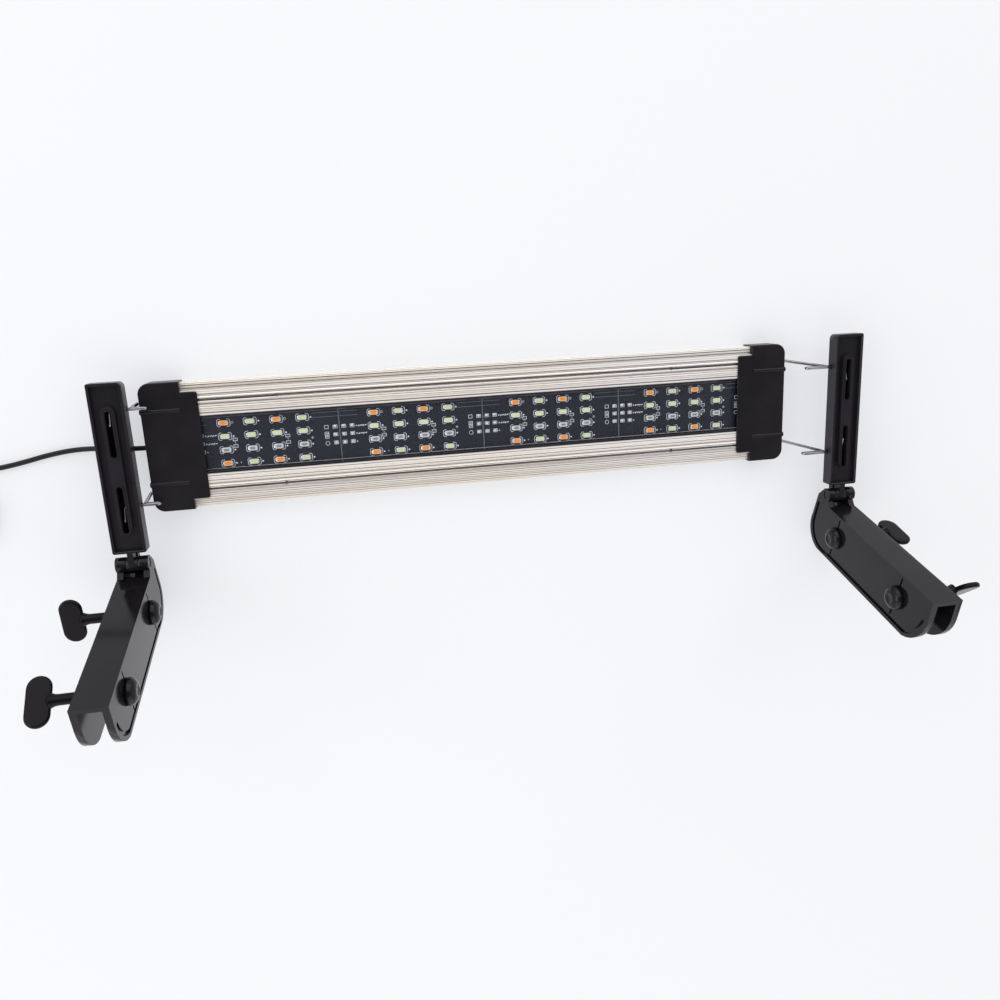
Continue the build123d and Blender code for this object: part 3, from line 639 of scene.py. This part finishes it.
def make_tie():
    """Flat plastic-coated wire round the coil, its two ends twisted together on top."""
    x, y = COIL_CENTRE
    near, far = y - TIE_NEAR, y - TIE_FAR
    middle = (near + far) / 2
    line = [(near, 0.5), (near + 0.15, 3.2), (near - 0.6, 6.2), (near - 1.6, 6.75), (middle + 1.2, 6.85),
            (middle - 1.2, 6.85), (far + 1.6, 6.75), (far + 0.4, 6.2), (far, 3.2), (far, 0.5),
            (far + 0.5, 0.06), (middle, 0.04), (near - 0.5, 0.06)]
    mesh = bmesh.new()
    rows = []
    for i, (cy, cz) in enumerate(line):
        py, pz = line[i - 1]
        ny, nz = line[(i + 1) % len(line)]
        length = math.hypot(ny - py, nz - pz)
        thick = TIE_THICK if cz > 0.4 else TIE_THIN
        ay, az = (nz - pz) / length * thick, -(ny - py) / length * thick
        section = ((x - TIE_HALF_WIDTH, cy, cz), (x - TIE_RIB, cy + ay, cz + az),
                   (x, cy + ay * 2, cz + az * 2), (x + TIE_RIB, cy + ay, cz + az),
                   (x + TIE_HALF_WIDTH, cy, cz), (x, cy - ay * 0.6, cz - az * 0.6))
        rows.append([mesh.verts.new([MM * c for c in point]) for point in section])
    for i, row in enumerate(rows):
        after = rows[(i + 1) % len(rows)]
        for j, k in enumerate((1, 2, 3, 4, 5, 0)):
            mesh.faces.new((row[j], row[k], after[k], after[j]))
    twist = []
    for i in range(TWIST_STEPS):                          # the twisted ends lie flat on the band
        turn = i * math.pi / 4
        twist.append([(x + 0.5 + TWIST_RISE * i, middle + 0.75 * math.cos(turn + angle) * weight,
                       7.27 + 0.3 * math.sin(turn + angle) * weight) for angle, weight in TWIST_SECTION])
    loft(mesh, twist)
    return add_piece("cord_tie_band", mesh, FINISHES["tie"], "lamp", "tie", "cord_tie", smooth=40)


def make_cord():
    points = CORD_ROUTE + list(coil_turns()) + TAIL_ROUTE
    curve = bpy.data.curves.new("power_cord_sheath", "CURVE")
    curve.dimensions = "3D"
    spline = curve.splines.new("NURBS")
    spline.points.add(len(points) - 1)
    for point, place in zip(spline.points, points):
        point.co = (*(MM * c for c in place), 1.0)
    spline.order_u = 3
    spline.use_endpoint_u = True
    spline.resolution_u = 4
    curve.bevel_depth, curve.bevel_resolution, curve.use_fill_caps = CORD_R, 6, True
    curve.materials.append(FINISHES["cord_black"])
    cord = bpy.data.objects.new("power_cord_sheath", curve)
    bpy.context.scene.collection.objects.link(cord)
    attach(cord, "lamp")
    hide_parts("power_cord", "power_cord_coil", "power_cord_tail")
    [MM * c for c in CORD_ROUTE[0]]
    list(make_plug())
    make_tie()


make_cord()


# ---- stage and light ------------------------------------------------------------------------
FLOOR_HALF, FLOOR_Z = 4, -0.0002
# The world's grey at each height of the direction looked in, from the horizon up.
SKY = [(0.0, 1.0), (0.3, 1.0), (0.55, 0.7), (0.75, 0.42), (0.9, 0.32)]


def make_stage():
    mesh = bpy.data.meshes.new("floor")
    corners = [(sx * FLOOR_HALF, sy * FLOOR_HALF, FLOOR_Z) for sx, sy in ((-1, -1), (1, -1), (1, 1), (-1, 1))]
    mesh.from_pydata(corners, [], [(0, 1, 2, 3)])
    floor = bpy.data.objects.new("floor", mesh)
    finish = Finish("pale_floor", (0.33, 0.335, 0.335), 0.9, emission_color=(0.95, 0.96, 1.0, 1.0),
                    emission_strength=0.54)
    mesh.materials.append(finish.material)
    bpy.context.scene.collection.objects.link(floor)


def soft_box(name, place, aim, size, power, colour):
    data = bpy.data.lights.new(name, "AREA")
    data.shape, data.size, data.size_y = "RECTANGLE", size[0], size[1]
    data.energy, data.color = power, colour
    lamp = bpy.data.objects.new(name, data)
    lamp.location = place
    lamp.rotation_mode = "QUATERNION"
    lamp.rotation_quaternion = (Vector(place) - Vector(aim)).to_track_quat("Z", "Y")
    bpy.context.scene.collection.objects.link(lamp)


def make_world():
    """A studio that is bright round the horizon and dimmer overhead, where the camera hangs."""
    world = bpy.data.worlds.new("studio")
    bpy.context.scene.world = world
    world.use_nodes = True
    tree = world.node_tree
    direction = tree.nodes.new("ShaderNodeTexCoord").outputs["Generated"]
    split = tree.nodes.new("ShaderNodeSeparateXYZ")
    ramp = tree.nodes.new("ShaderNodeValToRGB")
    tree.links.new(direction, split.inputs[0])
    tree.links.new(split.outputs["Z"], ramp.inputs["Fac"])
    while len(ramp.color_ramp.elements) < len(SKY):
        ramp.color_ramp.elements.new(0.5)
    for element, (height, grey) in zip(ramp.color_ramp.elements, SKY):
        element.position, element.color = height, (grey * 0.98, grey * 0.98, grey, 1)
    background = tree.nodes["Background"]
    tree.links.new(ramp.outputs["Color"], background.inputs["Color"])
    background.inputs["Strength"].default_value = 1.0


make_stage()
make_world()
soft_box("far_box", (0.1, 1.9, 1.35), (0, 0.05, 0), (4.6, 2.8), 50, (1.0, 0.98, 0.95))
soft_box("near_box", (-0.1, -1.9, 1.3), (0, -0.05, 0), (4.6, 2.8), 40, (1.0, 0.98, 0.96))
soft_box("side_box", (-1.9, 0.1, 1.2), (0, 0, 0), (1.8, 1.4), 18, (0.96, 0.97, 1.0))
bpy.context.scene.view_settings.view_transform = "Standard"
